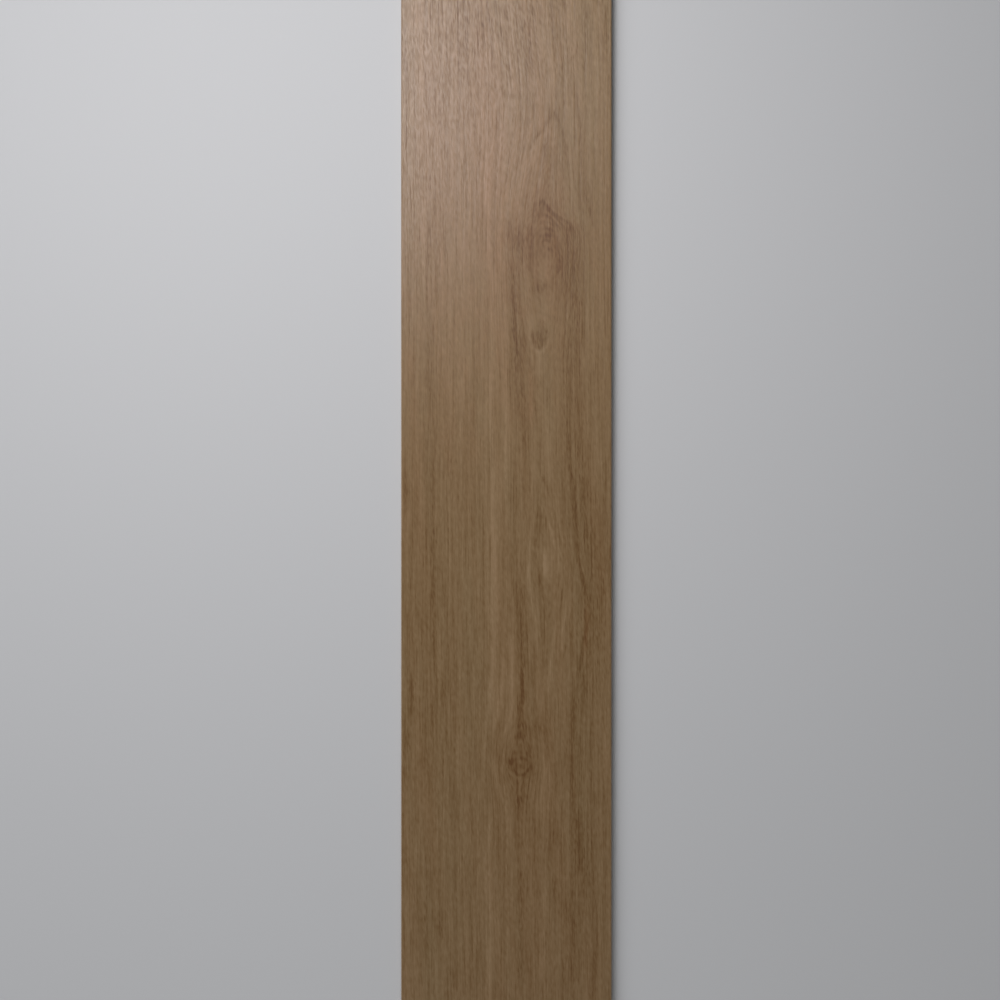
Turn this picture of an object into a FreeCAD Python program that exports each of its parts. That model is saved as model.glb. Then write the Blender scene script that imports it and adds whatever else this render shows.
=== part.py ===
"""Wood look porcelain plank tile: one slab, pressed and fired whole, with a ground edge and a keyed back.

The slab lies face up. X runs across the plank, Y along it and Z up. The origin is the middle of the back,
on the plane of the keying ribs that the tile rests on. Lengths are in millimetres and angles in degrees.
"""

import FreeCAD
import Part
import Sketcher

import os

# Driving dimensions: alias, value and what it measures.
DIMENSIONS = (
    ("plank_length", 1200.0, "length over the ground ends"),
    ("plank_width", 200.0, "width over the ground long edges"),
    ("plank_thickness", 9.5, "height of the face over the tops of the ribs"),
    ("face_bevel", 0.5, "micro-bevel ground round the face"),
    ("back_bevel", 1.2, "bevel pressed round the back"),
    ("key_cell", 32.0, "side of a square keying cell, at its mouth"),
    ("key_rib", 5.0, "width of the ribs between cells"),
    ("key_depth", 0.7, "depth of the cells below the ribs"),
    ("key_cut", 4.0, "length that a cell's cut corners take off each side"),
    ("key_draft", 30.0, "lean of a cell's walls, which lets the tile leave its mould"),
    ("key_border", 8.5, "least plain border between the back bevel and the cells"),
)

SHEET = "dimensions"
TILE = "plank_tile"

# The cells sit on one pitch both ways, as many as the border leaves room for, centred on the back.
PITCH = f"({SHEET}.key_cell + {SHEET}.key_rib)"
ROOM = f"- 2 * ({SHEET}.back_bevel + {SHEET}.key_border) + {SHEET}.key_rib"
CELLS_ACROSS = f"floor(({SHEET}.plank_width {ROOM}) / {PITCH})"
CELLS_ALONG = f"floor(({SHEET}.plank_length {ROOM}) / {PITCH})"
SPAN_ACROSS = f"({CELLS_ACROSS} - 1) * {PITCH}"
SPAN_ALONG = f"({CELLS_ALONG} - 1) * {PITCH}"

# The ends of a line and the axes of a sketch, as constraints number them.
START, END = 1, 2
H_AXIS, V_AXIS = -1, -2

# Share by which the cells' cut may differ from the cut of one cell times their number.
VOLUME_MATCH = 1e-4


def add_dimensions(doc):
    """The spreadsheet that every size below is bound to."""
    sheet = doc.addObject("Spreadsheet::Sheet", SHEET)
    for row, (alias, value, meaning) in enumerate(DIMENSIONS, start=1):
        sheet.set(f"A{row}", alias)
        sheet.set(f"B{row}", str(value))
        sheet.set(f"C{row}", meaning)
        sheet.setAlias(f"B{row}", alias)
    doc.recompute()
    return sheet


def sketch_on_back(body, name):
    """A new sketch on the plane of the back, z = 0."""
    plane = next(f for f in body.Origin.OriginFeatures if f.Role == "XY_Plane")
    sketch = body.newObject("Sketcher::SketchObject", name)
    sketch.AttachmentSupport = [(plane, "")]
    sketch.MapMode = "FlatFace"
    return sketch


def draw_ring(sketch, corners):
    """Draws straight lines from each corner to the next and back to the first, and returns their indices."""
    points = [FreeCAD.Vector(x, y, 0) for x, y in corners]
    following = points[1:] + points[:1]
    lines = [sketch.addGeometry(Part.LineSegment(*ends), False) for ends in zip(points, following)]
    for line, next_line in zip(lines, lines[1:] + lines[:1]):
        sketch.addConstraint(Sketcher.Constraint("Coincident", line, END, next_line, START))
    return lines


def mirror_ends(sketch, pairs, axis):
    """Makes each pair of line ends mirror images of one another about an axis of the sketch."""
    for line, line_end, other, other_end in pairs:
        sketch.addConstraint(Sketcher.Constraint("Symmetric", line, line_end, other, other_end, axis))


def bind_distance(sketch, kind, ends, name, expression):
    """Adds a named distance between two line ends and binds it to the sheet."""
    line, line_end, other, other_end = ends
    start = sketch.getPoint(line, line_end)
    span = sketch.getPoint(other, other_end) - start
    drawn = span.x if kind == "DistanceX" else span.y
    index = sketch.addConstraint(Sketcher.Constraint(kind, *ends, drawn))
    sketch.renameConstraint(index, name)
    sketch.setExpression(f"Constraints.{name}", expression)


def face_towards(shape, direction):
    """Name of the flat face of a shape that lies furthest along a direction."""
    faces = enumerate(shape.Faces, start=1)
    index, _ = max(faces, key=lambda numbered: numbered[1].CenterOfMass.dot(direction))
    return f"Face{index}"


def press_slab(doc, body, sheet):
    """The plain slab: the outline of the plank, padded up from the back to the face."""
    sketch = sketch_on_back(body, "outline")
    x = sheet.plank_width / 2
    y = sheet.plank_length / 2
    near, right, far, _ = draw_ring(sketch, ((-x, -y), (x, -y), (x, y), (-x, y)))
    mirror_ends(sketch, ((near, START, near, END), (far, START, far, END)), V_AXIS)
    mirror_ends(sketch, ((right, START, right, END),), H_AXIS)
    bind_distance(sketch, "DistanceX", (near, START, near, END), "across", f"{SHEET}.plank_width")
    bind_distance(sketch, "DistanceY", (right, START, right, END), "along", f"{SHEET}.plank_length")
    slab = body.newObject("PartDesign::Pad", "slab")
    slab.Profile = sketch
    slab.setExpression("Length", f"{SHEET}.plank_thickness")
    doc.recompute()
    return slab


def bevel_face(doc, body, base, name, direction, size):
    """Bevels every edge of the face of base that looks along a direction."""
    bevel = body.newObject("PartDesign::Chamfer", name)
    bevel.Base = (base, [face_towards(base.Shape, direction)])
    bevel.setExpression("Size", f"{SHEET}.{size}")
    doc.recompute()
    return bevel


def press_key_cell(doc, body, sheet):
    """One keying cell at a corner of the back: a square with cut corners, whose walls lean in."""
    sketch = sketch_on_back(body, "cell_mouth")
    half = sheet.key_cell / 2
    flat = half - sheet.key_cut
    corners = (
        (-flat, -half), (flat, -half), (half, -flat), (half, flat),
        (flat, half), (-flat, half), (-half, flat), (-half, -flat),
    )
    near, _, right, _, far, _, left, _ = draw_ring(sketch, corners)
    across = ((near, START, near, END), (far, START, far, END), (left, START, right, END))
    along = ((right, START, right, END), (left, START, left, END), (near, START, far, END))
    mirror_ends(sketch, across, V_AXIS)
    mirror_ends(sketch, along, H_AXIS)
    side = f"{SHEET}.key_cell"
    flat_side = f"{SHEET}.key_cell - 2 * {SHEET}.key_cut"
    bind_distance(sketch, "DistanceX", (left, START, right, END), "mouth_across", side)
    bind_distance(sketch, "DistanceY", (near, START, far, END), "mouth_along", side)
    bind_distance(sketch, "DistanceX", (near, START, near, END), "flat_across", flat_side)
    bind_distance(sketch, "DistanceY", (right, START, right, END), "flat_along", flat_side)
    sketch.setExpression("AttachmentOffset.Base.x", f"-{SPAN_ACROSS} / 2 * 1 mm")
    sketch.setExpression("AttachmentOffset.Base.y", f"-{SPAN_ALONG} / 2 * 1 mm")
    cell = body.newObject("PartDesign::Pocket", "key_cell")
    cell.Profile = sketch
    cell.Reversed = True
    cell.setExpression("Length", f"{SHEET}.key_depth")
    cell.setExpression("TaperAngle", f"-{SHEET}.key_draft")
    doc.recompute()
    return cell


def repeat_key_cell(doc, body, cell):
    """The grid of cells over the whole back, whose ribs key the tile into its adhesive."""
    sketch = cell.Profile[0]
    grid = body.newObject("PartDesign::LinearPattern", "keyed_back")
    grid.Originals = [cell]
    grid.Direction = (sketch, ["H_Axis"])
    grid.Direction2 = (sketch, ["V_Axis"])
    grid.Mode = "Extent"
    grid.Mode2 = "Extent"
    grid.setExpression("Length", SPAN_ACROSS)
    grid.setExpression("Length2", SPAN_ALONG)
    grid.setExpression("Occurrences", CELLS_ACROSS)
    grid.setExpression("Occurrences2", CELLS_ALONG)
    body.Tip = grid
    doc.recompute()
    return grid


def check_built(doc, body, bevelled, cell, grid):
    """Stops if a feature failed, the body is not one sound solid, or a cell was not cut."""
    failed = [o.Label for o in doc.Objects if {"Invalid", "Error"} & set(o.State)]
    if failed:
        raise RuntimeError(f"failed features: {failed}")
    if body.Shape.isNull() or not body.Shape.isValid() or len(body.Shape.Solids) != 1:
        raise RuntimeError(f"{body.Label} is not one valid solid")
    one_cell = bevelled.Shape.Volume - cell.Shape.Volume
    all_cells = bevelled.Shape.Volume - grid.Shape.Volume
    expected = one_cell * grid.Occurrences * grid.Occurrences2
    if one_cell <= 0 or abs(all_cells - expected) > VOLUME_MATCH * expected:
        raise RuntimeError(f"the cells cut {all_cells:.1f} mm3 from the back, not {expected:.1f}")


def build_tile(doc, sheet):
    """The whole tile, as one body."""
    body = doc.addObject("PartDesign::Body", TILE)
    body.Label = TILE
    body.Placement = FreeCAD.Placement(FreeCAD.Vector(0, 0, 0), FreeCAD.Rotation())
    slab = press_slab(doc, body, sheet)
    back_bevelled = bevel_face(doc, body, slab, "back_arris", FreeCAD.Vector(0, 0, -1), "back_bevel")
    bevelled = bevel_face(doc, body, back_bevelled, "face_arris", FreeCAD.Vector(0, 0, 1), "face_bevel")
    cell = press_key_cell(doc, body, sheet)
    grid = repeat_key_cell(doc, body, cell)
    check_built(doc, body, bevelled, cell, grid)
    return body


def main():
    doc = FreeCAD.newDocument("porcelain_plank")
    sheet = add_dimensions(doc)
    tile = build_tile(doc, sheet)
    os.makedirs("parts", exist_ok=True)
    tile.Shape.exportStep(os.path.join("parts", f"{tile.Label}.step"))
    box = tile.Shape.BoundBox
    print(f"{tile.Label}: {box.XLength:.2f} x {box.YLength:.2f} x {box.ZLength:.2f} mm, "
          f"{tile.Shape.Volume / 1000:.1f} cm3, {len(tile.Shape.Faces)} faces")


main()
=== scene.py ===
"""Wood look porcelain plank tile, lying face up on a plain floor and seen from straight above.

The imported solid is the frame: its back, edges and bevels give the tile its size. On it goes a face with
the pressed relief and the printed figure of sawn oak. Figure sizes are in millimetres, all else in metres.
"""

import bpy
import numpy as np
from bpy.props import FloatProperty, FloatVectorProperty, IntProperty, PointerProperty
from bpy.types import NodeSocket, Operator, Panel, PropertyGroup
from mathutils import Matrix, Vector


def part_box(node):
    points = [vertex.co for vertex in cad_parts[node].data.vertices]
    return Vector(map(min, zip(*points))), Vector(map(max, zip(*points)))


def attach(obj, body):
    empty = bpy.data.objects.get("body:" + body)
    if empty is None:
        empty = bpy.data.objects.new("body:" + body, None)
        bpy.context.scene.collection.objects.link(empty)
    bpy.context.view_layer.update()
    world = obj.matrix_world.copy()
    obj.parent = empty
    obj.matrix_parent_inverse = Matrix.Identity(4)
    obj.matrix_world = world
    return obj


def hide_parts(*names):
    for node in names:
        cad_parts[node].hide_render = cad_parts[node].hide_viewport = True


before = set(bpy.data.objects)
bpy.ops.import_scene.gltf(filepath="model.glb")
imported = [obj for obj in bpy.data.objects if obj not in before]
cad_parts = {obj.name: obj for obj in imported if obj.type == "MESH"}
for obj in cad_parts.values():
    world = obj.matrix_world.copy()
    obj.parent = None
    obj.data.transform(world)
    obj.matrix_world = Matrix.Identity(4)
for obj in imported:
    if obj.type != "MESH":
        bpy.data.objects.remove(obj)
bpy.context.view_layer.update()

bl_info = {
    "name": "Porcelain Plank Tile",
    "version": (1, 0, 0),
    "blender": (4, 5, 0),
    "location": "View3D > Sidebar > Plank Tile",
    "description": "Makes a wood look porcelain plank tile and the plain stage that it lies on",
    "category": "Add Mesh",
}

NODE = "plank_tile"
BODY = "root"
PIECE = "oak_look_plank"
MM = 0.001

# Brightness of the backdrop to the eye and in gloss, where 1 is white.
BACKDROP = 0.42

# Half width of the floor, its gap under the tile, and where it starts and ends fading into the backdrop.
FLOOR_HALF = 12.0
FLOOR_GAP = 0.02 * MM
FADE_START, FADE_END = 0.75, 2.2

TILE_LOW, TILE_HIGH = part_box(NODE)

# Digits that the solid's corners are welded to, and the distance within which two places are the same.
WELD_DIGITS = 7
SAME_PLACE = 1e-6

# The tile's finishes, in the order of its materials.
PRINTED, GROUND, PRESSED = 0, 1, 2

# Strips of the UV map: left, width, foot and height. For an edge, the axis and sign of its normal come first.
MAP_FACE = (0.004, 0.992, 0.004, 0.620)
MAP_BACK = (0.004, 0.992, 0.636, 0.310)
MAP_EDGES = (
    (0, 1, (0.004, 0.992, 0.952, 0.010)),
    (0, -1, (0.004, 0.992, 0.966, 0.010)),
    (1, 1, (0.004, 0.3, 0.980, 0.010)),
    (1, -1, (0.504, 0.3, 0.980, 0.010)),
)
# Least share of an edge's normal that points along its axis.
SQUARE_ON = 0.9

# Stretches where the figure is busy and the mesh is closer: start, end and how much closer.
BUSY_ALONG = ((135, 295, 2.9), (295, 385, 1.8), (-145, 35, 0.9), (-270, -230, 3.4))
BUSY_ACROSS = ((-5, 75, 0.35),)

# The line through the middle of the growth rings: (along, across).
PITH_LINE = ((-600, 34), (-330, 36), (-130, 40), (-62, 37), (25, 34), (100, 33), (150, 31), (233, 36),
             (283, 34), (367, 45), (600, 47))

# Growth rings round that line, from the eye of the large knot outwards: (along, half width).
# A half width below 0 lies past the ring's tip, so a ring closes to a lens wherever it crosses 0.
GROWTH_RINGS = (
    ((-600, -44), (-62, -6), (150, -24), (190, 0), (205, 9), (225, 16), (246, 17), (260, 9), (268, 0),
     (300, -20), (600, -60)),
    ((-600, -40), (-160, -24), (-100, 0), (-62, 11), (-10, 0), (25, -12), (100, -20), (143, 0), (152, 7),
     (165, 9), (195, 17), (225, 28), (248, 30), (262, 24), (273, 11), (285, 0), (320, -18), (600, -40)),
    ((-600, -10), (-420, -8), (-300, -12), (-200, -12), (-160, -7), (-134, 0), (-115, 10), (-90, 17),
     (-62, 21), (-20, 15), (5, 8), (25, 0), (60, -5), (95, 4), (120, 12), (146, 20), (170, 25), (195, 31),
     (225, 35), (245, 36), (283, 29), (310, 22), (340, 12), (368, 0), (420, -12), (600, -16)),
    ((-600, 16), (-500, 18), (-330, 22), (-260, 26), (-200, 25), (-160, 27), (-115, 34), (-62, 38),
     (-20, 31), (25, 25), (60, 23), (95, 25), (146, 31), (195, 38), (235, 45), (283, 42), (340, 30),
     (420, 22), (600, 18)),
)
# Step between the rings past those, and the least width that a ring counts for.
OUTER_RING_STEP = 11.0
LEAST_RING = 1.0
# Share that a distance counts for left of the line, where the rings are wider.
LEFT_SHARE = 0.93
# Lengths over which corners are softened in that line, in the rings and in how far they show, and the samples
# that this takes.
PITH_SOFTEN, RING_SOFTEN, SHOW_SOFTEN = 20.0, 6.0, 12.0
SOFTEN_SAMPLES = 7

# How far the rings show along the plank. Past one ring they fade, over so many more, to a least share.
RING_SHOW = ((-600, 0.2), (-240, 0.15), (-150, 0.2), (-120, 0.5), (-40, 0.7), (30, 0.5), (70, 0.35),
             (110, 0.5), (180, 0.45), (330, 0.5), (385, 0.4), (450, 0.25), (600, 0.2))
FADE_FROM_RING, FADE_OVER_RINGS, LEAST_SHOW = 3.2, 1.5, 0.15

# Places where the grain parts round a knot: across, along, half width, half length and how far it parts.
KNOTS = (
    (35, 235, 26, 78, 0.60),
    (37, -62, 16, 50, 0.50),
    (12.5, -250, 17, 26, 0.60),
)

# Places where the grain bends to the right, laid out in the same way.
BENDS = ((20, 375, 42, 75, 9.0),)

# Dark lines of the figure, as a pen draws them: half width, weight and points (across, along).
DARK_LINES = (
    # The chevron over the large knot and the lines beside it.
    (1.7, 0.5, ((18.9, 327), (22.5, 334), (27.7, 344), (34.4, 351), (40.3, 362), (45.8, 369), (51, 357),
                (54, 347), (57, 334), (58.6, 319), (60.6, 306), (61, 296))),
    (1.3, 0.5, ((40, 348), (36.8, 337), (36, 326))),
    (1.5, 0.42, ((58.5, 354), (61.5, 336), (63.5, 317), (65.5, 300), (68, 284), (70.5, 270))),
    (1.8, 0.55, ((59, 444), (61, 420), (64, 400), (67.4, 378), (70, 356), (70.4, 336), (71, 322),
                 (71.6, 307))),
    (1.8, 0.35, ((74, 312), (76, 300), (76.4, 286), (79.6, 273), (84, 260))),
    (1.4, 0.3, ((41.7, 477), (46.5, 457), (49.3, 438), (52, 417), (54, 402), (58, 388))),
    (1.5, 0.25, ((-9, 430), (0, 417), (5.5, 404), (10, 391), (14, 378))),
    (2.4, 0.35, ((21.5, 466), (22, 440), (21.5, 402))),
    # The large knot: its apex, its shoulders, the ripples inside and the ring round its eye.
    (1.8, 0.55, ((26.5, 278.5), (29.4, 281.5), (34.2, 284.5), (39, 280), (44, 275), (52, 268),
                 (60.5, 262), (64, 252), (66, 240))),
    (2.4, 0.4, ((29, 281), (34.4, 284), (40, 278))),
    (1.2, 0.6, ((35, 278), (41, 274.5), (47, 269), (54, 261))),
    (1.2, 0.6, ((35.5, 271.5), (41, 269.5), (47, 263.5), (53, 256))),
    (1.2, 0.6, ((36, 265.5), (41.5, 263.5), (47, 258), (51.5, 251))),
    (1.3, 0.62, ((35.5, 258), (41.5, 257.5), (46, 254))),
    (1.8, 0.85, ((33.5, 250.5), (39, 252), (46, 250))),
    (1.6, 0.7, ((31.5, 244.5), (37, 247), (42, 245.5))),
    (1.7, 0.6, ((37, 240.5), (40.5, 237.5), (44, 239.5))),
    (1.8, 0.5, ((50, 247), (51.6, 231), (49.8, 219), (45.2, 211), (39, 206))),
    (1.8, 0.25, ((21.5, 232), (21.4, 221), (24.8, 209), (29.6, 200))),
    (1.5, 0.35, ((2.4, 268), (1.6, 256), (2.2, 246))),
    # The small ring below it and the lines that run down past it.
    (1.8, 0.65, ((24, 166), (24.8, 155), (28.4, 146.5), (32, 143.5), (36.7, 149), (38, 159.5),
                 (36.6, 168))),
    (1.5, 0.3, ((14, 171), (16.5, 148), (22.5, 129), (27.2, 109), (26.6, 80), (24.6, 64))),
    (1.0, 0.25, ((0.8, 132), (2.4, 113), (4.6, 97), (7, 78))),
    # The left vein.
    (4.2, 0.28, ((6, 232), (6.4, 205), (6.6, 185), (7.4, 168), (8.8, 152), (10.2, 138), (11.8, 122),
                 (13.8, 106), (15.6, 85), (16.4, 62), (16, 45))),
    (1.6, 0.3, ((7.4, 180), (8, 165), (9, 150), (10.2, 136), (11.6, 124))),
    # The right vein, drawn over again where it is darkest.
    (3.0, 0.3, ((66, 240), (65, 215), (62.6, 190), (61, 176), (60.3, 150), (58.4, 132), (57.2, 110),
                (57, 85), (58.5, 60), (60.4, 42), (62.4, 28), (63.4, 8), (65.6, -14), (67.4, -43),
                (68.6, -58), (71.4, -70), (74.4, -82), (76.8, -95), (76, -110), (74, -129), (72, -143),
                (69.2, -158), (67.4, -174), (66, -190), (65, -212), (63.4, -235), (62.2, -255),
                (62.5, -275), (64, -298), (66.5, -325), (66.5, -350), (65.5, -395), (64, -430),
                (65, -480))),
    (1.9, 0.55, ((61, 34), (62.6, 22), (63.6, 6), (65.6, -14), (67.4, -43), (68.6, -58), (71.4, -70),
                 (74.4, -82), (76.8, -97))),
    (2.0, 0.45, ((76, -118), (73.5, -133), (70.5, -150), (67.6, -172))),
    (3.0, 0.5, ((73, 28), (73.4, 4), (74.4, -30), (74, -60))),
    (4.0, 0.45, ((72.6, -155), (71.4, -200))),
    # The lens half way down.
    (1.7, 0.42, ((31, -6), (28.5, -22), (26.2, -36), (27.5, -52), (29.6, -64), (31, -77), (33.2, -91),
                 (36.8, -107))),
    (1.5, 0.5, ((31.5, 28), (34.6, 21), (41.6, 9), (44, -2))),
    (1.3, 0.34, ((22.4, -60), (24, -76), (27, -93), (31, -110), (34.6, -124))),
    (1.3, 0.2, ((36.8, -14), (39, -28), (42, -44), (43.5, -60))),
    (1.3, 0.3, ((61, -98), (60, -120), (56, -140), (51, -156))),
    # The vein into the small knot, the knot's broken ring and the lines below it.
    (5.0, 0.42, ((10, -66), (12, -86), (13.4, -106), (14, -126), (14.4, -146))),
    (3.2, 0.55, ((14.2, -120), (14.2, -137), (15, -152), (15.6, -165), (15.4, -182), (14.6, -195),
                 (13, -208), (12, -222), (12, -234))),
    (2.4, 0.7, ((14.6, -145), (15.6, -160), (15.6, -176), (15, -190), (13.4, -206))),
    (2.2, 1.0, ((1.5, -247), (3.4, -249), (5.2, -252.5))),
    (1.6, 0.75, ((4.6, -252.5), (7.5, -257), (10.5, -260.7), (13.4, -261.6), (17.7, -260), (21.3, -255),
                 (21.8, -250))),
    (1.5, 0.45, ((17.5, -238.5), (20.6, -242.2), (21.4, -246))),
    (1.5, 0.3, ((4, -248.5), (8.2, -246.6), (13, -245.4), (17.6, -246), (20.8, -248.6), (22, -252.5))),
    (1.5, 0.25, ((12.4, -237), (12.6, -246))),
    (3.4, 0.55, ((14, -264), (13, -282), (12.4, -300), (13.4, -320), (13.8, -345), (14.4, -385),
                 (13.6, -430), (14, -476))),
    (1.3, 0.3, ((14.5, -270), (20.8, -286), (25.5, -305), (32, -330))),
    (1.3, 0.25, ((-3, -300), (0, -330), (1, -370), (0, -412))),
    # Streaks on the left.
    (2.6, 0.4, ((-78.5, 322), (-78.8, 300), (-78.5, 280))),
    (3.2, 0.45, ((-74.5, 278), (-74, 250), (-75, 225), (-76, 202))),
    (2.6, 0.35, ((-74.6, 162), (-75, 130), (-76.4, 96))),
    (2.6, 0.5, ((-70.6, 45), (-70.2, 20), (-69.6, -15), (-69.3, -52), (-69.8, -90), (-69.5, -125),
                (-68.8, -160))),
    (3.5, 0.45, ((-95, 34), (-95.2, -12))),
    (2.0, 0.3, ((-60, -76), (-60, -104))),
    (2.4, 0.6, ((-60.5, -160), (-60.3, -182), (-60.6, -204))),
    (2.2, 0.55, ((-90, -162), (-90.2, -188), (-90, -214))),
    (2.0, 0.35, ((-71, -196), (-71, -232))),
    (3.0, 0.5, ((-96, -205), (-96, -278))),
    (3.0, 0.4, ((-96, -318), (-96, -386))),
    (2.6, 0.45, ((-64.2, -386), (-64.6, -420))),
    (3.2, 0.42, ((-77.5, -374), (-77, -405), (-76, -440))),
    # Streaks on the right.
    (3.2, 0.4, ((95, 474), (95, 410))),
    (3.4, 0.35, ((46.4, -350), (46.6, -388))),
    (4.0, 0.35, ((58, -372), (58, -410))),
    (2.0, 0.35, ((81.6, -428), (81.8, -460))),
    # Lines that run on to both ends.
    (2.0, 0.35, ((65, -476), (64, -520), (65, -595))),
    (1.8, 0.3, ((14, -475), (13, -520), (14, -595))),
    (1.5, 0.4, ((60, 474), (58, 510), (56, 595))),
    (1.6, 0.35, ((-22, 490), (-21, 535), (-23, 595))),
    (1.5, 0.35, ((-58, -480), (-57, -520), (-59, -585))),
)

# Pale lines of the figure, given in the same way.
PALE_LINES = (
    # The light band along the middle.
    (2.2, 0.55, ((-19, 350), (-19.4, 305), (-17.6, 268), (-16.4, 238), (-14.6, 210), (-14.2, 180),
                 (-13.4, 160), (-15, 120), (-15.4, 90), (-15, 62), (-13, 40))),
    (2.0, 0.25, ((-13, 52), (-13, 20), (-13, -10), (-11.8, -44), (-11.4, -100), (-11.8, -140),
                 (-14, -175))),
    (7.0, 0.4, ((-12, 40), (-11, -30), (-10.5, -100), (-11, -160), (-13, -215))),
    (5.0, 0.35, ((-16, -300), (-14.5, -350), (-14, -420), (-15, -490))),
    (2.0, 0.4, ((-16.4, -290), (-16.2, -330), (-15.4, -380), (-15.2, -440), (-15.4, -490))),
    (1.3, 0.3, ((-8, -340), (-7.2, -390), (-7, -452))),
    # Round the large knot.
    (1.4, 0.55, ((25, 362), (23.4, 350), (20.6, 338))),
    (1.4, 0.55, ((26.6, 343), (25, 331), (24, 314))),
    (1.4, 0.5, ((19, 336), (16, 322), (14.6, 308))),
    (1.7, 0.4, ((44.6, 442), (46.4, 424), (47.2, 408), (46.4, 392), (45, 378))),
    (1.2, 0.5, ((37, 281.5), (43, 277.5), (50, 271.5), (58, 265))),
    (1.2, 0.45, ((38, 273), (44, 268.5), (50, 262), (55, 255))),
    (1.2, 0.4, ((38, 262), (44, 260), (48.5, 255.5))),
    (1.5, 0.35, ((56, 246), (56.6, 232), (54.5, 216))),
    (2.4, 0.2, ((47.6, 208), (45.4, 198), (40, 184))),
    (2.0, 0.45, ((24.4, 178), (24.8, 168), (25.6, 160))),
    (1.5, 0.4, ((20.8, 168), (21.8, 155), (26, 143.5), (32, 139.8), (39.4, 146), (41.4, 160))),
    (3.0, 0.35, ((33, 138), (30.6, 128), (30, 114))),
    # Down to the lens and round it.
    (2.2, 0.4, ((41, 104), (39.8, 70), (40, 44), (41.4, 26), (42.4, 6))),
    (1.4, 0.25, ((47, 100), (46.4, 82), (47, 62))),
    (1.5, 0.25, ((27, 42), (25.4, 24), (24.8, 2))),
    (2.3, 1.0, ((36.2, -46), (36.9, -56), (37.1, -66), (37.6, -78))),
    (1.5, 0.6, ((25.6, -19), (23.4, -36), (21.6, -52), (20.6, -70), (22.8, -88), (25.6, -106),
                (28.6, -122), (29.6, -145))),
    (1.3, 0.4, ((19.6, -48), (21.8, -66), (24.8, -83), (29.4, -102), (33, -116))),
    (1.4, 0.45, ((37, -10), (40.6, -22), (44, -34), (48.6, -50), (51.2, -66), (53.2, -80))),
    (1.4, 0.5, ((55.5, -84), (55.6, -104), (53.4, -128), (50.2, -152))),
    (1.4, 0.55, ((50, -84), (49.4, -101), (47.6, -118), (45, -135), (42.6, -152), (40.6, -180))),
    (1.2, 0.4, ((70.6, -58), (73, -68), (76.4, -78), (78.4, -86))),
    # Beside the vein into the small knot, and round the knot.
    (2.1, 0.75, ((3.6, -125), (4.4, -146), (5, -165), (5.4, -186), (4.4, -200), (1.6, -212), (-3, -226),
                 (-5, -234))),
    (2.0, 0.7, ((-4, -140), (-3.4, -163), (-4, -178), (-6, -192), (-9.4, -206), (-12.5, -224))),
    (1.8, 0.55, ((-15.5, -165), (-16.4, -190), (-19, -214), (-20.6, -238), (-20, -260))),
    (1.7, 0.5, ((-13, -248), (-10, -262), (-7, -274), (-2.4, -288), (4, -308), (5.6, -335))),
    (1.5, 0.4, ((36, -236), (36, -252), (35, -270), (32, -288))),
    # Streaks on both sides.
    (3.0, 0.4, ((-87, 478), (-87, 432))),
    (3.0, 0.4, ((-90, 388), (-90, 350))),
    (3.0, 0.3, ((-80, 45), (-80, -25))),
    (3.0, 0.25, ((-84, -318), (-84, -368))),
    (3.0, 0.3, ((2, 100), (2, 20))),
    (2.6, 0.3, ((35, 448), (35, 412))),
    (3.0, 0.35, ((73, 150), (73, 116))),
    (2.4, 0.25, ((85, 80), (85, 20))),
    (2.4, 0.35, ((36, -362), (36, -400))),
    (2.8, 0.4, ((33, -430), (33, -458))),
    # Lines that run on to both ends.
    (2.0, 0.4, ((-15.4, -480), (-16, -530), (-15, -595))),
    (1.8, 0.4, ((-15.4, 480), (-17, 530), (-16, 595))),
)

# Red brown lines of the figure, given in the same way.
RED_LINES = (
    (2.2, 0.3, ((22.5, 130), (22.6, 112), (23, 94), (24, 68))),
    (2.6, 0.4, ((77, -92), (76.4, -120), (73.4, -152))),
)

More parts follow.
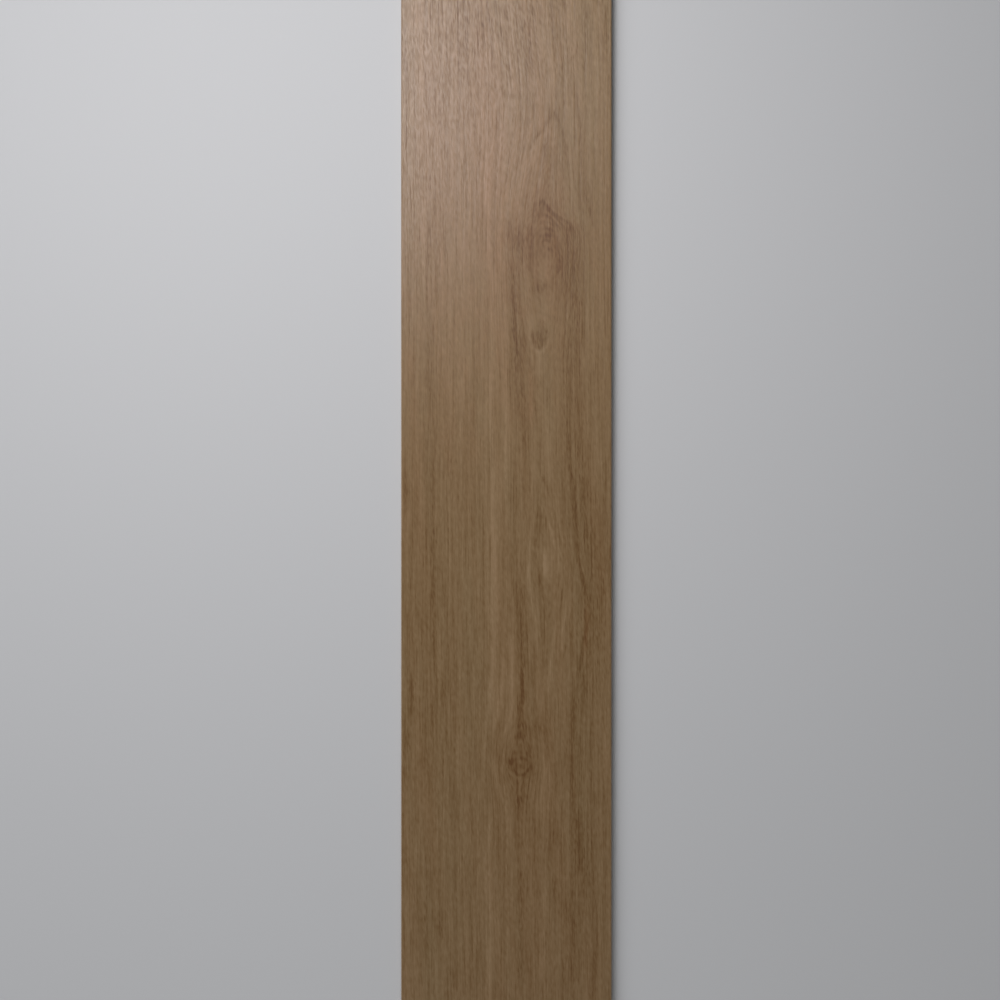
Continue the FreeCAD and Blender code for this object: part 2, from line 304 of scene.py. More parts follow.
# Soft shades: across, along, half width, half length, tone (darker below 0, paler above) and share of red.
SHADES = (
    # The far left, which is redder, and the paler far right and upper half, painted light at the far end.
    (-50, 360, 90, 190, 0, 0.8),
    (84, 430, 55, 110, 0.4, 0),
    (0, 185, 130, 185, 0.28, 0),
    # The large knot, with its eye and the light left of its apex.
    (36, 240, 32, 44, -0.62, 0.35),
    (34.5, 276, 11, 11, -0.3, 0),
    (12, 245, 8, 14, -0.3, 0),
    (58, 247, 9, 20, -0.18, 0),
    (61, 212, 9, 26, -0.5, 0),
    (36, 221, 10, 13, 0.28, 0),
    (31.5, 201.5, 7, 6, -0.75, 0),
    (16, 243, 10, 16, -0.25, 0),
    (6, 284, 7, 16, 0.4, 0),
    # The small ring below it and the chevron above.
    (31.5, 155, 7, 10, -0.65, 0),
    (40, 320, 11, 26, -0.25, 0),
    (45, 362, 5, 8, -0.5, 0),
    # Left of the middle.
    (-53, 30, 9, 45, -0.25, 0),
    (-3, 214, 4, 26, -0.35, 0),
    (-12, -254, 5, 10, 0.35, 0),
    # Beside the veins and along the right edge.
    (9, 165, 5, 40, -0.4, 0),
    (12.5, 112, 7, 38, -0.35, 0),
    (75, 300, 6, 28, -0.25, 0),
    (64, 115, 8, 75, -0.45, 0),
    (86, 120, 15, 300, -0.12, 0),
    (91, 305, 8, 42, 0.25, 0),
    (85, -95, 13, 70, -0.25, 0),
    (97, -70, 4, 35, -0.4, 0),
    (82, -135, 4, 14, -0.35, 0),
    (70, -235, 4, 28, -0.35, 0),
    (64, -318, 5, 26, -0.45, 0),
    (50, -300, 6, 50, -0.15, 0),
    (73, -350, 7, 60, -0.4, 0),
    # The lens and the light below it.
    (37, -63, 6, 18, 0.3, 0),
    (34, -20, 5, 14, -0.45, 0),
    (40, -172, 5, 16, 0.5, 0),
    # The small knot, its branch, and the shade and the light below.
    (12.5, -251, 13, 19, -0.58, 0),
    (12, -280, 9, 17, -0.45, 0),
    (13, -221, 7, 15, -0.55, 0),
    (26, -217, 10, 8, -0.38, 0),
    (31, -292, 6, 16, 0.4, 0),
)

# Length over which a drawn line swells in from each end, and the largest share of it that this takes.
LINE_SWELL = 25.0
LINE_SWELL_SHARE = 0.3
# Strength of a drawn line at its tips, and how many half widths it is drawn out to.
LINE_TIP = 0.2
LINE_REACH = 3

# Random fields: reach from lowest to highest, width and length of a mark, start across, start along and seed.
GRAIN_WANDER = (4.0, 80, 300, 9.3, 4.1, 11)
RING_WANDER = (2.4, 14, 40, 2.2, 7.7, 12)
LINE_SWAY = (1.2, 11, 16, 3.3, 5.1, 13)
SHADE_EDGE = (0.8, 6, 14, 3.3, 5.1, 14)
LINE_WIDTH = (0.6, 9, 24, 6.1, 2.7, 15)
BROAD_PRESS = (0.35, 6.5, 150, 31, 3, 21)
FINE_PRESS = (2.2, 2.6, 42, 57, 8, 22)

# Shares of the full depth of the pressed grain: the broad waves on the whole, fine furrows and dark lines.
PRESS_MEAN, PRESS_FINE, PRESS_DARK = 0.175, 0.75, 0.5

# Fine grain is quieter in a spot round the large knot, and bolder past a start near the far end.
CALM_SPOT, CALM = (36, 236, 30, 50), 0.5
BOLD_START, BOLD_SPAN, BOLD = 360, 80, 0.4

# How far grain and short marks shift along the plank from one line to the next, per millimetre across.
GRAIN_STAGGER = 7.3
MARK_STAGGER = 0.8

# Noises of the print: name, the lines that it follows, marks per millimetre across, along and per ring, start
# and detail.
PRINT_NOISES = (
    ("bands", "grain", (1 / 10.5, 1 / 520, 0.0), (0.3, 0.6, 0.5), 1.0),
    ("streaks", "grain", (1 / 4.4, 1 / 300, 0.0), (0.3, 0.6, 0.5), 1.0),
    ("fibres", "grain", (1 / 1.9, 1 / 95, 0.0), (0.3, 0.6, 0.5), 1.0),
    ("hairs", "grain", (1 / 1.0, 1 / 38, 0.0), (0.3, 0.6, 0.5), 1.0),
    ("blots", "marks", (1 / 2.4, 1 / 5, 0.0), (0.3, 0.6, 0.5), 0.0),
    ("ticks", "marks", (1 / 1.0, 1 / 5, 0.0), (0.3, 0.6, 0.5), 0.0),
    ("rings", "grain", (1 / 60, 1 / 190, 4.4), (0.2, 0.4, 0.1), 1.0),
    ("pores", "grain", (1 / 1.1, 1 / 32, 0.0), (0.1, 0.7, 0.5), 0.0),
    ("warmth", "grain", (1 / 30, 1 / 190, 0.0), (0.5, 0.1, 0.5), 1.0),
)

# Weights in the print's tone, which runs from 0 in its darkest vein to 1 in its palest fleck.
GRAIN_WEIGHTS = {"bands": 0.14, "streaks": 0.36, "fibres": 0.44, "hairs": 0.37, "blots": 0.24, "ticks": 0.39}
MEAN_TONE = 0.56
RING_TONE = 0.18
PORE_TONE = -0.15
# Painted shade: the print is darker where the relief is pressed deeper.
RELIEF_PAINTED_SHADE = -0.06
DARK_TONE = -0.39
PALE_TONE = 0.40

# What pores and dark lines add to the glaze's roughness, and what pores, hairs and ticks add to the height of
# its fibres.
PORE_DULL, DARK_DULL = 0.03, 0.05
PORE_HEIGHT, HAIR_HEIGHT, TICK_HEIGHT = -0.3, 0.6, 0.4

# Tones of the print from its darkest vein to its palest fleck, as a yellow brown and as a red brown.
OAK_YELLOW = ((0.0, "#4B2F05"), (0.25, "#5A4221"), (0.5, "#675133"), (0.75, "#715C3F"), (1.0, "#7B664A"))
OAK_RED = ((0.0, "#4F2C04"), (0.25, "#5F401E"), (0.5, "#6C4F30"), (0.75, "#77593C"), (1.0, "#806246"))


def linear(hex_colour):
    """Linear red, green and blue of an sRGB hex colour."""
    channels = [int(hex_colour[i:i + 2], 16) / 255 for i in (1, 3, 5)]
    return tuple(c / 12.92 if c <= 0.04045 else ((c + 0.055) / 1.055) ** 2.4 for c in channels)


class PlankSettings(PropertyGroup):
    """Sizes and colours of the tile that a user would change."""

    relief: FloatProperty(
        name="Relief", description="Depth of the pressed grain below the face",
        default=0.06 * MM, min=0.0, unit="LENGTH", precision=5,
    )
    cells_across: IntProperty(
        name="Cells Across", description="Cells of the relief mesh across the plank", default=220, min=20,
    )
    cells_along: IntProperty(
        name="Cells Along", description="Cells of the relief mesh along the plank", default=400, min=20,
    )
    glaze_roughness: FloatProperty(
        name="Glaze Roughness", description="Roughness of the matt glaze", default=0.34, min=0.0, max=1.0,
        subtype="FACTOR",
    )
    body_colour: FloatVectorProperty(
        name="Body", description="Colour of the fired body, where the edge is ground", size=3,
        subtype="COLOR", default=linear("#857360"), min=0.0, max=1.0,
    )
    engobe_colour: FloatVectorProperty(
        name="Engobe", description="Colour of the kiln wash left on the ribs of the back", size=3,
        subtype="COLOR", default=linear("#C9C3B8"), min=0.0, max=1.0,
    )


class StageSettings(PropertyGroup):
    """Floor, camera and light."""

    floor_colour: FloatVectorProperty(
        name="Floor", description="Colour of the plain floor", size=3, subtype="COLOR",
        default=linear("#ADAEAF"), min=0.0, max=1.0,
    )
    camera_height: FloatProperty(
        name="Camera Height", description="Height of the camera over the face", default=2.0, min=0.1,
        unit="LENGTH",
    )
    camera_left: FloatProperty(
        name="Camera Left", description="How far the camera stands to the left of the tile's middle",
        default=6.1 * MM, unit="LENGTH",
    )
    view_width: FloatProperty(
        name="View Width", description="Width of the square that the camera sees on the face",
        default=0.950, min=0.01, unit="LENGTH",
    )
    key_power: FloatProperty(
        name="Key Power", description="Power of the warm lamp over the far end", default=5.8, min=0.0,
        unit="POWER",
    )
    side_power: FloatProperty(
        name="Side Power", description="Power of the broad cool lamp on the left", default=105.0, min=0.0,
        unit="POWER",
    )
    front_power: FloatProperty(
        name="Front Power", description="Power of the lamp past the near end", default=37.5, min=0.0,
        unit="POWER",
    )
    fill: FloatProperty(
        name="Fill", description="Even light from all round", default=0.10, min=0.0,
    )


def ease(share):
    """A share from 0 to 1 that starts and ends gently."""
    return share * share * (3 - 2 * share)


def reach_from(across, along, spot):
    """Squared distance from the middle of a spot, counted in its half sizes."""
    middle_across, middle_along, half_width, half_length = spot
    return ((across - middle_across) / half_width) ** 2 + ((along - middle_along) / half_length) ** 2


def smooth_random(across, along, field):
    """Smooth random field about 0, where each column of marks starts at its own place."""
    reach, width, length, start_across, start_along, seed = field
    across = across / width + start_across
    along = along / length + start_along
    size = 256
    random = np.random.default_rng(seed)
    table = random.random((size, size))
    starts = random.random(size) * size
    cell = np.floor(across).astype(int)
    columns = []
    for column in (cell % size, (cell + 1) % size):
        place = along + starts[column]
        row = np.floor(place).astype(int)
        share = ease(place - row)
        columns.append(table[column, row % size] * (1 - share) + table[column, (row + 1) % size] * share)
    share = ease(across - cell)
    return reach * (columns[0] * (1 - share) + columns[1] * share - 0.5)


def follow(points, along, soften):
    """Value along the plank of a line given by (along, value) points, with its corners softened."""
    places, values = np.array(points, float).T
    offsets = np.linspace(-soften, soften, SOFTEN_SAMPLES)
    return sum(np.interp(along + offset, places, values) for offset in offsets) / len(offsets)


def stations(half, count, busy):
    """Places from -half to half in metres for the mesh's lines, closer together in the busy stretches."""
    samples = 4001
    even = np.linspace(-half, half, samples)
    density = np.ones_like(even)
    for start, end, closer in busy:
        density[(even > start * MM) & (even < end * MM)] += closer
    total = np.concatenate(((0.0,), np.cumsum(density[1:] + density[:-1])))
    return np.interp(np.linspace(0, total[-1], count), total, even)


def grain_flow(across, along):
    """Grain lines that part round the knots, the growth rings, and how far the rings show."""
    flow = across + smooth_random(across, along, GRAIN_WANDER)
    for *spot, share in KNOTS:
        flow = flow - share * (across - spot[0]) * np.exp(-reach_from(across, along, spot))
    for *spot, bend in BENDS:
        flow = flow - bend * np.exp(-reach_from(across, along, spot))
    rows = along[:1]
    offset = across - follow(PITH_LINE, rows, PITH_SOFTEN)
    offset = np.where(offset < 0, -LEFT_SHARE * offset, offset)
    offset = offset + smooth_random(across, along, RING_WANDER)
    widths = [follow(ring, rows, RING_SOFTEN) for ring in GROWTH_RINGS]
    ring = (offset - widths[-1]) / OUTER_RING_STEP + len(widths)
    for number in range(len(widths) - 1, 0, -1):
        inner = widths[number - 1]
        outer = widths[number]
        share = (offset - inner) / np.maximum(outer - inner, LEAST_RING)
        ring = np.where(offset < outer, number + share, ring)
    fade = np.clip(1.0 - (ring - FADE_FROM_RING) / FADE_OVER_RINGS, LEAST_SHOW, 1.0)
    return flow, ring, follow(RING_SHOW, rows, SHOW_SOFTEN) * fade


def drawn_lines(across, along, lines):
    """Strength of drawn lines at each point. A line swells in from its ends and falls off to both sides."""
    marks = np.zeros_like(across)
    widen = 1 + smooth_random(across, along, LINE_WIDTH)
    for half_width, weight, points in lines:
        line = np.zeros_like(across)
        reach = LINE_REACH * half_width
        steps = np.hypot(*np.diff(points, axis=0).T)
        passed = np.concatenate(((0.0,), np.cumsum(steps)))
        length = passed[-1]
        swell = min(LINE_SWELL, LINE_SWELL_SHARE * length)
        for (x0, y0), (x1, y1), step, start in zip(points[:-1], points[1:], steps, passed):
            near = (across > min(x0, x1) - reach) & (across < max(x0, x1) + reach)
            near &= (along > min(y0, y1) - reach) & (along < max(y0, y1) + reach)
            x = across[near] - x0
            y = along[near] - y0
            share = np.clip((x * (x1 - x0) + y * (y1 - y0)) / step ** 2, 0, 1)
            gap = np.hypot(x - share * (x1 - x0), y - share * (y1 - y0)) / (half_width * widen[near])
            place = start + share * step
            swelling = np.clip(np.minimum(place, length - place) / swell, 0, 1)
            strength = LINE_TIP + (1 - LINE_TIP) * ease(swelling)
            line[near] = np.maximum(line[near], strength * np.exp(-gap ** 2))
        marks += weight * line
    return marks


def printed_figure(across, along):
    """Shares of dark, pale and red in the figure of the print."""
    sway = across + smooth_random(across, along, LINE_SWAY)
    dark, pale, red = (drawn_lines(sway, along, lines) for lines in (DARK_LINES, PALE_LINES, RED_LINES))
    uneven = 1 + smooth_random(across, along, SHADE_EDGE)
    for *spot, tone, redness in SHADES:
        patch = np.exp(-reach_from(across, along, spot) * uneven)
        dark += patch * max(-tone, 0.0)
        pale += patch * max(tone, 0.0)
        red += patch * redness
    return dark, pale, red


def pressed_relief(flow, along, dark):
    """Depth of the pressed grain, from 0 on the face to 1 in the deepest marks."""
    broad = PRESS_MEAN + smooth_random(flow, along, BROAD_PRESS)
    fine = PRESS_FINE * np.clip(smooth_random(flow, along, FINE_PRESS), 0, 1)
    return np.clip(broad + fine + PRESS_DARK * dark, 0, 1)


def grain_strength(across, along):
    """Strength of the fine grain: quieter round the large knot and bolder towards the far end."""
    strength = 1.0 - CALM * np.exp(-reach_from(across, along, CALM_SPOT))
    return strength + BOLD * ease(np.clip((along - BOLD_START) / BOLD_SPAN, 0, 1))


def solid_levels(node):
    """Welded corners and triangles of the solid, the heights of its edge band and its face's half sizes."""
    mesh = node.data
    corners = np.array([v.co for v in mesh.vertices])
    welded, index = np.unique(np.round(corners, WELD_DIGITS), axis=0, return_inverse=True)
    triangles = index.reshape(-1)[np.array([polygon.vertices for polygon in mesh.polygons])]
    edge_heights = welded[np.abs(welded[:, 0] - TILE_HIGH.x) < SAME_PLACE, 2]
    on_face = np.abs(welded[:, 2] - TILE_HIGH.z) < SAME_PLACE
    return welded, triangles, edge_heights.min(), edge_heights.max(), welded[on_face, :2].max(axis=0)


def build_plank_mesh(settings):
    """Mesh of the tile: relief face, bevels and ground edges over the keyed back of the solid."""
    welded, triangles, edge_low, edge_high, half_face = solid_levels(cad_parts[NODE])
    columns = settings.cells_across + 1
    rows = settings.cells_along + 1
    x = stations(half_face[0], columns, BUSY_ACROSS)
    y = stations(half_face[1], rows, BUSY_ALONG)
    across, along = np.meshgrid(x / MM, y / MM, indexing="ij")
    flow, ring, show = grain_flow(across, along)
    dark, pale, red = printed_figure(across, along)
    relief = pressed_relief(flow, along, dark)

    # The face, pressed down by its relief. Its rim slides down the bevel, outwards as it sinks.
    depth = relief * settings.relief
    face = np.stack((across * MM, along * MM, TILE_HIGH.z - depth), axis=-1)
    face[0, :, 0] -= depth[0]
    face[-1, :, 0] += depth[-1]
    face[:, 0, 1] -= depth[:, 0]
    face[:, -1, 1] += depth[:, -1]
    number = np.arange(columns * rows).reshape(columns, rows)
    quads = np.stack((number[:-1, :-1], number[1:, :-1], number[1:, 1:], number[:-1, 1:]), axis=-1)

    # The foot of the bevel, point for point under the rim, anticlockwise from the near left corner.
    rim = np.concatenate((number[:-1, 0], number[-1, :-1], number[:0:-1, -1], number[0, :0:-1]))
    turns = np.cumsum((0, columns - 1, rows - 1, columns - 1, rows - 1))
    foot = face.reshape(-1, 3)[rim].copy()
    foot[:, 2] = edge_high
    sides = ((1, TILE_LOW.y), (0, TILE_HIGH.x), (1, TILE_HIGH.y), (0, TILE_LOW.x))
    for side, (axis, place) in enumerate(sides):
        run = np.arange(turns[side], turns[side + 1] + 1) % len(rim)
        foot[run, axis] = place
    foot_number = np.arange(len(rim)) + number.size
    bevels = np.stack((foot_number, np.roll(foot_number, -1), np.roll(rim, -1), rim), axis=-1)

    # The back and its bevel, taken over from the solid.
    kept = triangles[welded[triangles, 2].max(axis=1) <= edge_low + SAME_PLACE]
    used, back = np.unique(kept, return_inverse=True)
    first = number.size + len(rim)
    back = back.reshape(kept.shape) + first
    back_points = welded[used]

    # The four ground edges, each one flat face from the back's bevel up to the foot of the face's bevel.
    edges = []
    corner_places = ((TILE_LOW.x, TILE_LOW.y), (TILE_HIGH.x, TILE_LOW.y), (TILE_HIGH.x, TILE_HIGH.y),
                     (TILE_LOW.x, TILE_HIGH.y))
    corners = [first + int(np.abs(back_points - (*place, edge_low)).sum(axis=1).argmin())
               for place in corner_places]
    for side in range(len(sides)):
        run = foot_number[np.arange(turns[side + 1], turns[side] - 1, -1) % len(rim)]
        edges.append([corners[side], corners[(side + 1) % len(sides)], *run.tolist()])

    mesh = bpy.data.meshes.new(PIECE)
    points = np.concatenate((face.reshape(-1, 3), foot, back_points))
    polygons = quads.reshape(-1, 4).tolist() + bevels.tolist() + edges + back.tolist()
    mesh.from_pydata(points.tolist(), [], polygons)
    counts = (quads.shape[0] * quads.shape[1], len(bevels) + len(edges), len(back))
    finishes = np.repeat((PRINTED, GROUND, PRESSED), counts)
    mesh.polygons.foreach_set("material_index", finishes.astype(np.int32))
    mesh.polygons.foreach_set("use_smooth", finishes == PRINTED)
    if mesh.validate():
        raise RuntimeError("the tile's mesh has faults")

    # Grain starts at its own place in each line, so that marks in neighbouring lines do not align.
    fields = {
        "grain": (flow, along + GRAIN_STAGGER * flow, ring),
        "marks": (flow, along + MARK_STAGGER * flow, ring),
        "figure": (dark, pale, red),
        "press": (relief, show, grain_strength(across, along)),
    }
    for name, parts in fields.items():
        values = np.zeros((len(points), 3), np.float32)
        values[:number.size] = np.stack([part.reshape(-1) for part in parts], axis=-1)
        mesh.attributes.new(name, "FLOAT_VECTOR", "POINT").data.foreach_set("vector", values.reshape(-1))
    lay_out_map(mesh, points, finishes)
    return mesh


def lay_out_map(mesh, points, finishes):
    """UV map that gives the printed face most of a square picture, with the back and the edges above it."""
    loops = np.zeros(len(mesh.loops), np.int32)
    mesh.loops.foreach_get("vertex_index", loops)
    sizes = np.zeros(len(mesh.polygons), np.int32)
    mesh.polygons.foreach_get("loop_total", sizes)
    normals = np.zeros(len(mesh.polygons) * 3, np.float32)
    mesh.polygons.foreach_get("normal", normals)
    normals = np.repeat(normals.reshape(-1, 3), sizes, axis=0)
    finish = np.repeat(finishes, sizes)
    across, along, up = ((points[loops] - np.array(TILE_LOW)) / np.array(TILE_HIGH - TILE_LOW)).T
    strips = [(finish != PRESSED, along, across, MAP_FACE), (finish == PRESSED, along, across, MAP_BACK)]
    for axis, sign, strip in MAP_EDGES:
        here = (finish == GROUND) & (normals[:, axis] * sign > SQUARE_ON)
        strips.append((here, across if axis else along, up, strip))
    uv = np.zeros((len(loops), 2), np.float32)
    for here, rightwards, upwards, (left, width, foot, height) in strips:
        uv[here, 0] = left + width * rightwards[here]
        uv[here, 1] = foot + height * upwards[here]
    mesh.uv_layers.new(name="OFBake").data.foreach_set("uv", uv.reshape(-1))


def add_node(tree, kind, inputs, **settings):
    """Adds a shader node, sets its options, and sets or links its inputs."""
    node = tree.nodes.new("ShaderNode" + kind)
    for name, value in settings.items():
        setattr(node, name, value)
    for socket, value in inputs.items():
        if isinstance(value, NodeSocket):
            tree.links.new(value, node.inputs[socket])
        else:
            node.inputs[socket].default_value = value
    return node.outputs


def rays_that_see_backdrop(tree):
    """1 for rays from the camera, off gloss or through glass, which see the backdrop, and 0 for others."""
    rays = add_node(tree, "LightPath", {})
    seen = rays["Is Camera Ray"]
    for kind in ("Is Glossy Ray", "Is Transmission Ray"):
        seen = add_node(tree, "Math", {0: seen, 1: rays[kind]}, operation="ADD", use_clamp=True)[0]
    return seen


def new_material(name):
    """A new material, its node tree and its shader."""
    material = bpy.data.materials.new(name)
    material.use_nodes = True
    return material, material.node_tree, material.node_tree.nodes["Principled BSDF"]


def oak_print_under_matt_glaze(settings):
    """Inkjet oak print under a matt glaze: quiet brown grain and a broad soft sheen, broken by fine pores."""
    material, tree, shader = new_material("oak_print_under_matt_glaze")
    fields = {}
    for name in ("grain", "marks", "figure", "press"):
        fields[name] = add_node(tree, "Attribute", {}, attribute_name=name)["Vector"]
    dark, pale, red = add_node(tree, "SeparateXYZ", {0: fields["figure"]})
    relief, show, bold = add_node(tree, "SeparateXYZ", {0: fields["press"]})
    noises = {}
    for name, lines, density, start, detail in PRINT_NOISES:
        inputs = {0: fields[lines], 1: density, 2: start}
        place = add_node(tree, "VectorMath", inputs, operation="MULTIPLY_ADD")[0]
        noises[name] = add_node(tree, "TexNoise", {"Vector": place, "Scale": 1.0, "Detail": detail})[0]

    # Straight grain, from broad bands down to hairs one millimetre wide, the least that shows from here.
    tone = -sum(GRAIN_WEIGHTS.values()) / 2
    for name, weight in GRAIN_WEIGHTS.items():
        tone = add_node(tree, "Math", {0: noises[name], 1: weight, 2: tone}, operation="MULTIPLY_ADD")[0]

    # Late wood: lines about 3 mm apart that follow the growth rings.
    rings = add_node(tree, "MapRange", {0: noises["rings"], 1: 0.2, 2: 0.8, 3: -RING_TONE, 4: RING_TONE})[0]
    tone = add_node(tree, "Math", {0: rings, 1: show, 2: tone}, operation="MULTIPLY_ADD")[0]

    # Open pores: dark hairlines a millimetre wide and a few centimetres long.
    opening = {0: noises["pores"], 1: 0.57, 2: 0.72}
    pores = add_node(tree, "MapRange", opening, interpolation_type="SMOOTHSTEP")[0]
    tone = add_node(tree, "Math", {0: pores, 1: PORE_TONE, 2: tone}, operation="MULTIPLY_ADD")[0]
    tone = add_node(tree, "Math", {0: tone, 1: bold, 2: MEAN_TONE}, operation="MULTIPLY_ADD")[0]

    # The drawn figure, whose dark lines are broken a little by the fibres, and painted shade that darkens the
    # print where the relief is pressed deeper.
    broken = add_node(tree, "Math", {0: noises["hairs"], 1: noises["ticks"]}, operation="ADD")[0]
    broken = add_node(tree, "MapRange", {0: broken, 1: 0.7, 2: 1.3, 3: 1.3, 4: 0.7})[0]
    dark = add_node(tree, "Math", {0: dark, 1: broken}, operation="MULTIPLY")[0]
    for part, weight in ((relief, RELIEF_PAINTED_SHADE), (dark, DARK_TONE), (pale, PALE_TONE)):
        tone = add_node(tree, "Math", {0: part, 1: weight, 2: tone}, operation="MULTIPLY_ADD")[0]

    # Yellow brown, drifting towards red brown over a few centimetres.
    warmth = add_node(tree, "MapRange", {0: noises["warmth"], 1: 0.3, 2: 0.7, 3: 0.05, 4: 0.35})[0]
    warmth = add_node(tree, "Math", {0: warmth, 1: red}, operation="ADD", use_clamp=True)[0]
    colours = []
    for tones in (OAK_YELLOW, OAK_RED):
        colours.append(add_node(tree, "ValToRGB", {0: tone})[0])
        stops = colours[-1].node.color_ramp.elements
        for place, _ in tones[1:-1]:
            stops.new(place)
        for stop, (_, colour) in zip(stops, tones):
            stop.color = (*linear(colour), 1.0)
    mixed = add_node(tree, "Mix", {0: warmth, 6: colours[0], 7: colours[1]}, data_type="RGBA")[2]
    tree.links.new(mixed, shader.inputs["Base Color"])

    # Matt glaze, duller in the pores and the dark lines, over finely pressed fibres.
    dull = add_node(tree, "MapRange", {0: noises["ticks"], 1: 0.3, 2: 0.7, 3: 0.05, 4: -0.05})[0]
    for part, weight in ((pores, PORE_DULL), (dark, DARK_DULL)):
        dull = add_node(tree, "Math", {0: part, 1: weight, 2: dull}, operation="MULTIPLY_ADD")[0]
    dull = add_node(tree, "Math", {0: dull, 1: settings.glaze_roughness}, operation="ADD", use_clamp=True)[0]
    tree.links.new(dull, shader.inputs["Roughness"])
    shader.inputs["IOR"].default_value = 1.52
    height = noises["fibres"]
    heights = ((pores, PORE_HEIGHT), (noises["hairs"], HAIR_HEIGHT), (noises["ticks"], TICK_HEIGHT))
    for part, weight in heights:
        height = add_node(tree, "Math", {0: part, 1: weight, 2: height}, operation="MULTIPLY_ADD")[0]
    bump = add_node(tree, "Bump", {"Height": height, "Strength": 1.0, "Distance": 0.045 * MM})[0]
    tree.links.new(bump, shader.inputs["Normal"])
    return material


def ground_porcelain(settings):
    """Fired porcelain ground by a wheel: a fine speckled body with faint lines along the edge."""
    material, tree, shader = new_material("ground_porcelain")
    place = add_node(tree, "TexCoord", {})["Object"]
    drawn = add_node(tree, "VectorMath", {0: place, 1: (1 / (40 * MM), 1 / (40 * MM), 1 / (0.35 * MM))},
                     operation="MULTIPLY")[0]
    lines = add_node(tree, "TexNoise", {"Vector": drawn, "Scale": 1.0, "Detail": 2.0})[0]
    speckle = add_node(tree, "TexNoise", {"Vector": place, "Scale": 1 / (0.9 * MM), "Detail": 2.0})[0]
    tone = add_node(tree, "Math", {0: lines, 1: 0.5, 2: speckle}, operation="MULTIPLY_ADD")[0]
    share = add_node(tree, "MapRange", {0: tone, 1: 0.55, 2: 0.95, 3: 0.84, 4: 1.14})[0]
    colour = add_node(tree, "VectorMath", {0: settings.body_colour, "Scale": share}, operation="SCALE")[0]
    tree.links.new(colour, shader.inputs["Base Color"])
    shader.inputs["IOR"].default_value = 1.52
    shader.inputs["Roughness"].default_value = 0.55
    bump = add_node(tree, "Bump", {"Height": lines, "Strength": 1.0, "Distance": 0.02 * MM})[0]
    tree.links.new(bump, shader.inputs["Normal"])
    return material


def pressed_porcelain_back(settings):
    """Pressed porcelain, unglazed: a dry grained body with pale kiln wash left on the ribs."""
    material, tree, shader = new_material("pressed_porcelain_back")
    place = add_node(tree, "TexCoord", {})["Object"]
    height = add_node(tree, "SeparateXYZ", {0: place})[2]
    mottle = add_node(tree, "TexNoise", {"Vector": place, "Scale": 1 / (14 * MM), "Detail": 4.0})[0]
    speckle = add_node(tree, "TexNoise", {"Vector": place, "Scale": 1 / (0.8 * MM), "Detail": 2.0})[0]
    wash = add_node(tree, "MapRange", {0: height, 1: 0.5 * MM, 2: 0.05 * MM, 3: 0.15, 4: 0.75})[0]
    patchy = add_node(tree, "MapRange", {0: mottle, 1: 0.35, 2: 0.65, 3: 0.25, 4: 1.0})[0]
    wash = add_node(tree, "Math", {0: wash, 1: patchy}, operation="MULTIPLY")[0]
    grit = add_node(tree, "MapRange", {0: speckle, 1: 0.3, 2: 0.7, 3: 0.6, 4: 1.2})[0]
    wash = add_node(tree, "Math", {0: wash, 1: grit}, operation="MULTIPLY", use_clamp=True)[0]
    body = (*settings.body_colour, 1.0)
    engobe = (*settings.engobe_colour, 1.0)
    mixed = add_node(tree, "Mix", {0: wash, 6: body, 7: engobe}, data_type="RGBA")[2]
    tree.links.new(mixed, shader.inputs["Base Color"])
    shader.inputs["IOR"].default_value = 1.5
    shader.inputs["Roughness"].default_value = 0.85
    bump = add_node(tree, "Bump", {"Height": speckle, "Strength": 1.0, "Distance": 0.08 * MM})[0]
    tree.links.new(bump, shader.inputs["Normal"])
    return material


class PLANK_OT_make_tile(Operator):
    """Make the tile: pressed relief face, ground edges and keyed back"""

    bl_idname = "plank_tile.make_tile"
    bl_label = "Make Plank Tile"

    def execute(self, context):
        settings = context.scene.plank_settings
        tile = bpy.data.objects.new(PIECE, build_plank_mesh(settings))
        context.scene.collection.objects.link(tile)
        for finish in (oak_print_under_matt_glaze, ground_porcelain, pressed_porcelain_back):
            tile.data.materials.append(finish(settings))
        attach(tile, BODY)
        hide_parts(NODE)
        return {"FINISHED"}


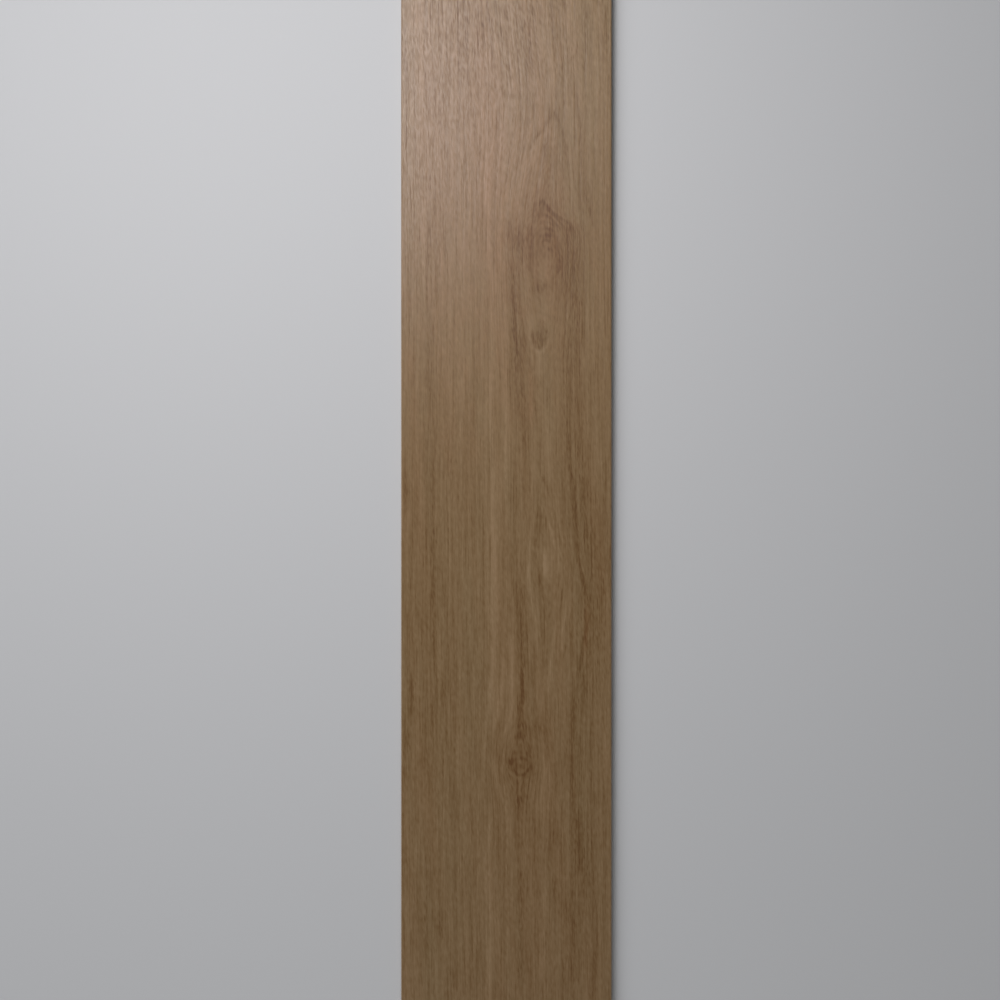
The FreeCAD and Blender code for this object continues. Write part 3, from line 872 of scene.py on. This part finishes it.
class PLANK_OT_make_stage(Operator):
    """Make the plain floor, the light and the camera over the tile"""

    bl_idname = "plank_tile.make_stage"
    bl_label = "Make Stage"

    def execute(self, context):
        settings = context.scene.stage_settings
        context.scene.view_settings.view_transform = "Standard"
        self.lay_floor(context.scene, settings)
        self.hang_lamps(context.scene, settings)
        self.light_world(context.scene, settings)
        self.set_camera(context.scene, settings)
        return {"FINISHED"}

    def lay_floor(self, scene, settings):
        """A wide plain floor under the tile. To the eye, it fades into the backdrop past the tile."""
        half = FLOOR_HALF
        z = TILE_LOW.z - FLOOR_GAP
        corners = [(-half, -half, z), (half, -half, z), (half, half, z), (-half, half, z)]
        mesh = bpy.data.meshes.new("floor")
        mesh.from_pydata(corners, [], [(0, 1, 2, 3)])
        floor = bpy.data.objects.new("floor", mesh)
        scene.collection.objects.link(floor)
        material, tree, shader = new_material("matt_floor_paint")
        shader.inputs["Base Color"].default_value = (*settings.floor_colour, 1.0)
        shader.inputs["Roughness"].default_value = 0.9
        place = add_node(tree, "TexCoord", {})["Object"]
        away = add_node(tree, "VectorMath", {0: place}, operation="LENGTH")["Value"]
        reach = {0: away, 1: FADE_START, 2: FADE_END}
        fade = add_node(tree, "MapRange", reach, interpolation_type="SMOOTHSTEP")[0]
        fade = add_node(tree, "Math", {0: fade, 1: rays_that_see_backdrop(tree)}, operation="MULTIPLY")[0]
        backdrop = add_node(tree, "Emission", {"Color": (1.0, 1.0, 1.0, 1.0), "Strength": BACKDROP})[0]
        faded = add_node(tree, "MixShader", {0: fade, 1: shader.outputs[0], 2: backdrop})[0]
        tree.links.new(faded, tree.nodes["Material Output"].inputs["Surface"])
        mesh.materials.append(material)

    def hang_lamps(self, scene, settings):
        """A small warm lamp over the far end, whose sheen lies on the face, a broad cool one on the left,
        which leaves no glare, and a low one past the near end.
        """
        lamps = (
            ("key", (-0.244, 0.579, 0.855), 0.58, "#FFFBFB", settings.key_power),
            ("side", (-1.98, 1.74, 2.12), 3.00, "#FAFBFF", settings.side_power),
            ("front", (-0.02, -3.13, 1.50), 0.80, "#FFFFFF", settings.front_power),
        )
        for name, place, size, colour, power in lamps:
            light = bpy.data.lights.new(name, "AREA")
            light.shape = "DISK"
            light.size = size
            light.energy = power
            light.color = linear(colour)
            lamp = bpy.data.objects.new(name, light)
            lamp.location = place
            lamp.rotation_euler = (-Vector(place)).to_track_quat("-Z", "Y").to_euler()
            lamp.visible_camera = False
            lamp.visible_glossy = name != "side"
            scene.collection.objects.link(lamp)

    def light_world(self, scene, settings):
        """Even fill light, which the camera, gloss and glass see as a pale backdrop past the floor."""
        world = bpy.data.worlds.new("backdrop")
        scene.world = world
        world.use_nodes = True
        background = world.node_tree.nodes["Background"]
        background.inputs["Color"].default_value = (1.0, 1.0, 1.0, 1.0)
        seen = rays_that_see_backdrop(world.node_tree)
        strength = add_node(world.node_tree, "MapRange", {0: seen, 3: settings.fill, 4: BACKDROP})[0]
        world.node_tree.links.new(strength, background.inputs["Strength"])

    def set_camera(self, scene, settings):
        """A camera straight over the tile, a little to its left."""
        camera = bpy.data.cameras.new("camera")
        camera.sensor_width = 36.0
        camera.lens = camera.sensor_width * settings.camera_height / settings.view_width
        eye = bpy.data.objects.new("camera", camera)
        eye.location = (-settings.camera_left, 0.0, TILE_HIGH.z + settings.camera_height)
        scene.collection.objects.link(eye)
        scene.camera = eye


class PLANK_PT_panel(Panel):
    """Lists the settings and the steps in the 3D view's sidebar"""

    bl_idname = "PLANK_PT_panel"
    bl_label = "Porcelain Plank Tile"
    bl_space_type = "VIEW_3D"
    bl_region_type = "UI"
    bl_category = "Plank Tile"

    def draw(self, context):
        scene = context.scene
        steps = ((scene.plank_settings, PLANK_OT_make_tile), (scene.stage_settings, PLANK_OT_make_stage))
        for settings, step in steps:
            box = self.layout.box()
            for name in settings.__annotations__:
                box.prop(settings, name)
            box.operator(step.bl_idname)


CLASSES = (PlankSettings, StageSettings, PLANK_OT_make_tile, PLANK_OT_make_stage, PLANK_PT_panel)


def register():
    for cls in CLASSES:
        bpy.utils.register_class(cls)
    bpy.types.Scene.plank_settings = PointerProperty(type=PlankSettings)
    bpy.types.Scene.stage_settings = PointerProperty(type=StageSettings)


def unregister():
    del bpy.types.Scene.stage_settings
    del bpy.types.Scene.plank_settings
    for cls in reversed(CLASSES):
        bpy.utils.unregister_class(cls)


def main():
    register()
    bpy.ops.plank_tile.make_tile()
    bpy.ops.plank_tile.make_stage()


if __name__ == "__main__":
    main()
